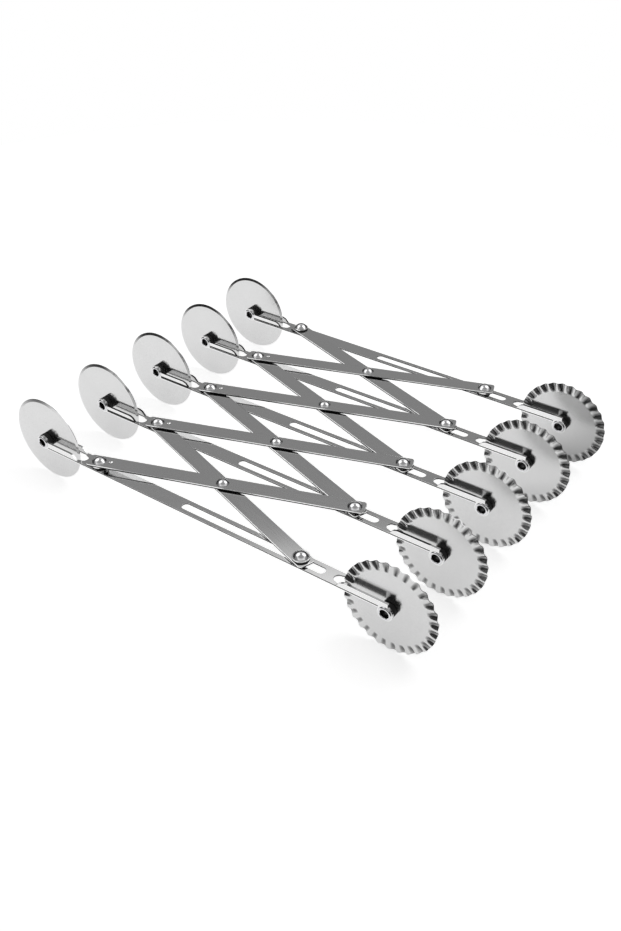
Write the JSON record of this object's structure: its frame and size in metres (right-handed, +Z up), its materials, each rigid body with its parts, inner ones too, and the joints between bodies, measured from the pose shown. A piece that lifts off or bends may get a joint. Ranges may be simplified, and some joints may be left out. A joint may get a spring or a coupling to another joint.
{
  "type": "expandable dough cutter",
  "caption": "Expandable dough cutter: wheel bars on a pantograph of flat links, each bar with a plain and a fluted cutting wheel, standing on its wheels.",
  "frame": {"origin": "bottom centre of the whole cutter as it stands on its wheels, half open", "axes": "+X along the wheel bars towards the fluted wheels, +Y the way the cutter opens, +Z up"},
  "size_m": [0.2848, 0.2034, 0.0524],
  "materials": {
    "bar_strip": "polished stainless strip",
    "link_strip": "polished stainless strip",
    "plain_wheel": "satin polished stainless disc",
    "fluted_wheel": "satin polished stainless disc",
    "axle_steel": "bright turned steel",
    "rivet_steel": "polished domed rivets",
    "black_nylon": "black nylon"
  },
  "bodies": {
    "bar_1": {"wheel_bar_1": "bar_strip", "wheel_axles_1": "axle_steel", "hub_bushes_1": "black_nylon", "left_rivet_1": "rivet_steel", "left_washers_1": "axle_steel"},
    "bar_2": {"wheel_bar_2": "bar_strip", "wheel_axles_2": "axle_steel", "hub_bushes_2": "black_nylon", "left_rivet_2": "rivet_steel", "left_washers_2": "axle_steel"},
    "bar_3": {"wheel_bar_3": "bar_strip", "wheel_axles_3": "axle_steel", "hub_bushes_3": "black_nylon", "left_rivet_3": "rivet_steel", "left_washers_3": "axle_steel"},
    "bar_4": {"wheel_bar_4": "bar_strip", "wheel_axles_4": "axle_steel", "hub_bushes_4": "black_nylon", "left_rivet_4": "rivet_steel", "left_washers_4": "axle_steel"},
    "bar_5": {"wheel_bar_5": "bar_strip", "wheel_axles_5": "axle_steel", "hub_bushes_5": "black_nylon", "left_rivet_5": "rivet_steel", "left_washers_5": "axle_steel"},
    "top_1": {"top_link_1": "link_strip"},
    "lower_1": {"lower_link_1": "link_strip", "centre_rivet_1": "rivet_steel", "slide_pin_1": "rivet_steel", "slide_washers_1": "axle_steel"},
    "top_2": {"top_link_2": "link_strip"},
    "lower_2": {"lower_link_2": "link_strip", "centre_rivet_2": "rivet_steel", "slide_pin_2": "rivet_steel", "slide_washers_2": "axle_steel"},
    "top_3": {"top_link_3": "link_strip"},
    "lower_3": {"lower_link_3": "link_strip", "centre_rivet_3": "rivet_steel", "slide_pin_3": "rivet_steel", "slide_washers_3": "axle_steel"},
    "top_4": {"top_link_4": "link_strip", "slide_pin_5": "rivet_steel", "slide_washers_5": "axle_steel"},
    "lower_4": {"lower_link_4": "link_strip", "centre_rivet_4": "rivet_steel", "slide_pin_4": "rivet_steel", "slide_washers_4": "axle_steel"},
    "plain_1": {"plain_wheel_1": "plain_wheel"},
    "fluted_1": {"fluted_wheel_1": "fluted_wheel"},
    "plain_2": {"plain_wheel_2": "plain_wheel"},
    "fluted_2": {"fluted_wheel_2": "fluted_wheel"},
    "plain_3": {"plain_wheel_3": "plain_wheel"},
    "fluted_3": {"fluted_wheel_3": "fluted_wheel"},
    "plain_4": {"plain_wheel_4": "plain_wheel"},
    "fluted_4": {"fluted_wheel_4": "fluted_wheel"},
    "plain_5": {"plain_wheel_5": "plain_wheel"},
    "fluted_5": {"fluted_wheel_5": "fluted_wheel"}
  },
  "joints": [
    {"name": "fold", "type": "hinge", "parent": "bar_3", "child": "top_3", "pos_m": [-0.07565, 0, 0.02311], "axis": [-0.027, 0, 0.9996], "range_deg": [-12.24, 45.15]},
    {"name": "lower_2_at_left_3", "type": "hinge", "parent": "bar_3", "child": "lower_2", "pos_m": [-0.07565, 0, 0.02311], "axis": [-0.027, 0, 0.9996], "range_deg": [-45.16, 12.25]},
    {"name": "top_2_at_centre_2", "type": "hinge", "parent": "lower_2", "child": "top_2", "pos_m": [-0.00564, -0.0239, 0.02501], "axis": [-0.027, 0, 0.9996], "range_deg": [-24.49, 90.31]},
    {"name": "lower_3_at_centre_3", "type": "hinge", "parent": "top_3", "child": "lower_3", "pos_m": [-0.00564, 0.0239, 0.02501], "axis": [-0.027, 0, 0.9996], "range_deg": [-90.31, 24.49]},
    {"name": "bar_2_at_left_2", "type": "hinge", "parent": "top_2", "child": "bar_2", "pos_m": [-0.07565, -0.0478, 0.02311], "axis": [-0.027, 0, 0.9996], "range_deg": [-45.16, 12.25]},
    {"name": "bar_4_at_left_4", "type": "hinge", "parent": "lower_3", "child": "bar_4", "pos_m": [-0.07565, 0.0478, 0.02311], "axis": [-0.027, 0, 0.9996], "range_deg": [-12.25, 45.16]},
    {"name": "lower_1_at_left_2", "type": "hinge", "parent": "bar_2", "child": "lower_1", "pos_m": [-0.07565, -0.0478, 0.02311], "axis": [-0.027, 0, 0.9996], "range_deg": [-45.16, 12.25]},
    {"name": "top_1_at_centre_1", "type": "hinge", "parent": "lower_1", "child": "top_1", "pos_m": [-0.00564, -0.0717, 0.02501], "axis": [-0.027, 0, 0.9996], "range_deg": [-24.49, 90.31]},
    {"name": "bar_1_at_left_1", "type": "hinge", "parent": "top_1", "child": "bar_1", "pos_m": [-0.07565, -0.0956, 0.02311], "axis": [-0.027, 0, 0.9996], "range_deg": [-45.16, 12.25]},
    {"name": "top_4_at_left_4", "type": "hinge", "parent": "bar_4", "child": "top_4", "pos_m": [-0.07565, 0.0478, 0.02311], "axis": [-0.027, 0, 0.9996], "range_deg": [-12.25, 45.16]},
    {"name": "lower_4_at_centre_4", "type": "hinge", "parent": "top_4", "child": "lower_4", "pos_m": [-0.00564, 0.0717, 0.02501], "axis": [-0.027, 0, 0.9996], "range_deg": [-90.31, 24.49]},
    {"name": "bar_5_at_left_5", "type": "hinge", "parent": "lower_4", "child": "bar_5", "pos_m": [-0.07565, 0.0956, 0.02311], "axis": [-0.027, 0, 0.9996], "range_deg": [-12.25, 45.16]},
    {"name": "plain_spin_1", "type": "hinge", "parent": "bar_1", "child": "plain_1", "pos_m": [-0.11693, -0.0956, 0.0255], "axis": [0, 1, 0], "continuous": true},
    {"name": "fluted_spin_1", "type": "hinge", "parent": "bar_1", "child": "fluted_1", "pos_m": [0.11623, -0.0956, 0.0262], "axis": [0, 1, 0], "continuous": true},
    {"name": "plain_spin_2", "type": "hinge", "parent": "bar_2", "child": "plain_2", "pos_m": [-0.11693, -0.0478, 0.0255], "axis": [0, 1, 0], "continuous": true},
    {"name": "fluted_spin_2", "type": "hinge", "parent": "bar_2", "child": "fluted_2", "pos_m": [0.11623, -0.0478, 0.0262], "axis": [0, 1, 0], "continuous": true},
    {"name": "plain_spin_3", "type": "hinge", "parent": "bar_3", "child": "plain_3", "pos_m": [-0.11693, 0, 0.0255], "axis": [0, 1, 0], "continuous": true},
    {"name": "fluted_spin_3", "type": "hinge", "parent": "bar_3", "child": "fluted_3", "pos_m": [0.11623, 0, 0.0262], "axis": [0, 1, 0], "continuous": true},
    {"name": "plain_spin_4", "type": "hinge", "parent": "bar_4", "child": "plain_4", "pos_m": [-0.11693, 0.0478, 0.0255], "axis": [0, 1, 0], "continuous": true},
    {"name": "fluted_spin_4", "type": "hinge", "parent": "bar_4", "child": "fluted_4", "pos_m": [0.11623, 0.0478, 0.0262], "axis": [0, 1, 0], "continuous": true},
    {"name": "plain_spin_5", "type": "hinge", "parent": "bar_5", "child": "plain_5", "pos_m": [-0.11693, 0.0956, 0.0255], "axis": [0, 1, 0], "continuous": true},
    {"name": "fluted_spin_5", "type": "hinge", "parent": "bar_5", "child": "fluted_5", "pos_m": [0.11623, 0.0956, 0.0262], "axis": [0, 1, 0], "continuous": true}
  ],
  "couplings": [
    {"joint": "lower_2_at_left_3", "follows": "fold", "ratio": -1},
    {"joint": "top_2_at_centre_2", "follows": "fold", "ratio": 2},
    {"joint": "lower_3_at_centre_3", "follows": "fold", "ratio": -2},
    {"joint": "bar_2_at_left_2", "follows": "fold", "ratio": -1},
    {"joint": "bar_4_at_left_4", "follows": "fold", "ratio": 1},
    {"joint": "lower_1_at_left_2", "follows": "fold", "ratio": -1},
    {"joint": "top_1_at_centre_1", "follows": "fold", "ratio": 2},
    {"joint": "bar_1_at_left_1", "follows": "fold", "ratio": -1},
    {"joint": "top_4_at_left_4", "follows": "fold", "ratio": 1},
    {"joint": "lower_4_at_centre_4", "follows": "fold", "ratio": -2},
    {"joint": "bar_5_at_left_5", "follows": "fold", "ratio": 1}
  ]
}
